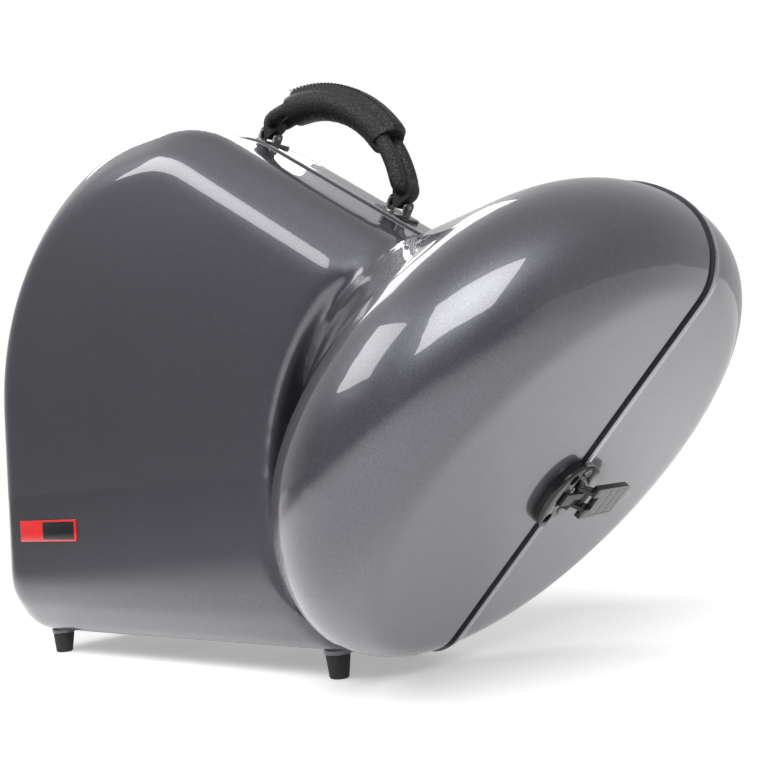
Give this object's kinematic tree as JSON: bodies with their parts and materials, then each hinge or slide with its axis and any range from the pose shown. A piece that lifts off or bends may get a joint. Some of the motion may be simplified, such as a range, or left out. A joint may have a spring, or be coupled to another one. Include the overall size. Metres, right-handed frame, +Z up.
{
  "type": "french horn case",
  "caption": "Moulded two-half hard case for a french horn: flat wrap tray, flared bell cover, padded inside, bottom hinges, draw latches and a swinging carry handle.",
  "frame": {"origin": "centre of the closed case's bounding box on the floor that the feet stand on", "axes": "+X along the case towards the bell cover, +Y from the lid half to the half with the handle, +Z up"},
  "size_m": [0.6265, 0.38, 0.4262],
  "materials": {
    "shell_paint": "gloss metallic graphite lacquer under clear coat",
    "plush": "short black plush",
    "foam": "foam block under black plush",
    "black_rubber": "matt black rubber",
    "black_steel": "black lacquered steel sheet",
    "black_lacquer": "gloss black lacquer",
    "zinc_steel": "dull zinc plate",
    "grey_inlay": "satin grey",
    "black_leather": "black grained leather"
  },
  "bodies": {
    "body": {"back_shell": "shell_paint", "back_lining": "plush", "throat_saddle": "foam", "wrap_block": "foam", "corner_divider": "foam", "back_foot_left": "black_rubber", "back_foot_right": "black_rubber", "back_foot_screws": "zinc_steel", "hinge_left_body_leaf": "black_steel", "hinge_right_body_leaf": "black_steel", "hinge_left_pin": "black_steel", "hinge_right_pin": "black_steel", "hinge_body_rivets": "black_steel", "mouth_latch_base": "black_lacquer", "end_latch_base": "black_lacquer", "mouth_latch_pivot_pin": "zinc_steel", "end_latch_pivot_pin": "zinc_steel", "latch_base_rivets": "zinc_steel", "handle_anchor_left": "black_lacquer", "handle_anchor_right": "black_lacquer", "anchor_screws": "zinc_steel", "handle_pins": "zinc_steel"},
    "lid": {"front_shell": "shell_paint", "front_lining": "plush", "edge_seal": "black_rubber", "front_foot_left": "black_rubber", "front_foot_right": "black_rubber", "front_foot_screws": "zinc_steel", "hinge_left_lid_leaf": "black_steel", "hinge_right_lid_leaf": "black_steel", "hinge_lid_rivets": "black_steel", "mouth_latch_keeper": "black_lacquer", "end_latch_keeper": "black_lacquer", "keeper_rivets": "zinc_steel"},
    "handle": {"handle_cord": "black_leather", "handle_sleeve": "black_leather", "handle_strap_left": "black_leather", "handle_strap_right": "black_leather"},
    "mouth_lever": {"mouth_latch_lever": "black_lacquer", "mouth_latch_inlay": "grey_inlay", "mouth_latch_link_pin": "zinc_steel"},
    "mouth_link": {"mouth_latch_link": "black_lacquer"},
    "end_lever": {"end_latch_lever": "black_lacquer", "end_latch_inlay": "grey_inlay", "end_latch_link_pin": "zinc_steel"},
    "end_link": {"end_latch_link": "black_lacquer"}
  },
  "joints": [
    {"name": "lid_hinge", "type": "hinge", "parent": "body", "child": "lid", "pos_m": [-0.087, 0, 0.012], "axis": [1, 0, 0], "range_deg": [0, 105]},
    {"name": "handle_swing", "type": "hinge", "parent": "body", "child": "handle", "pos_m": [0.02646, 0.021, 0.36171], "axis": [0.8338, 0, -0.5521], "range_deg": [-50, 50]},
    {"name": "mouth_lever_hinge", "type": "hinge", "parent": "body", "child": "mouth_lever", "pos_m": [0.20994, 0.0085, 0.11196], "axis": [-0.6858, 0, -0.7278], "range_deg": [0, 110]},
    {"name": "mouth_link_hinge", "type": "hinge", "parent": "mouth_lever", "child": "mouth_link", "pos_m": [0.21197, 0.0175, 0.11005], "axis": [-0.6858, 0, -0.7278], "range_deg": [-110, 0]},
    {"name": "end_lever_hinge", "type": "hinge", "parent": "body", "child": "end_lever", "pos_m": [-0.3036, 0.0085, 0.19], "axis": [0, 0, 1], "range_deg": [0, 110]},
    {"name": "end_link_hinge", "type": "hinge", "parent": "end_lever", "child": "end_link", "pos_m": [-0.3064, 0.0175, 0.19], "axis": [0, 0, 1], "range_deg": [-110, 0]}
  ],
  "couplings": [
    {"joint": "mouth_link_hinge", "follows": "mouth_lever_hinge", "ratio": -1},
    {"joint": "end_link_hinge", "follows": "end_lever_hinge", "ratio": -1}
  ]
}
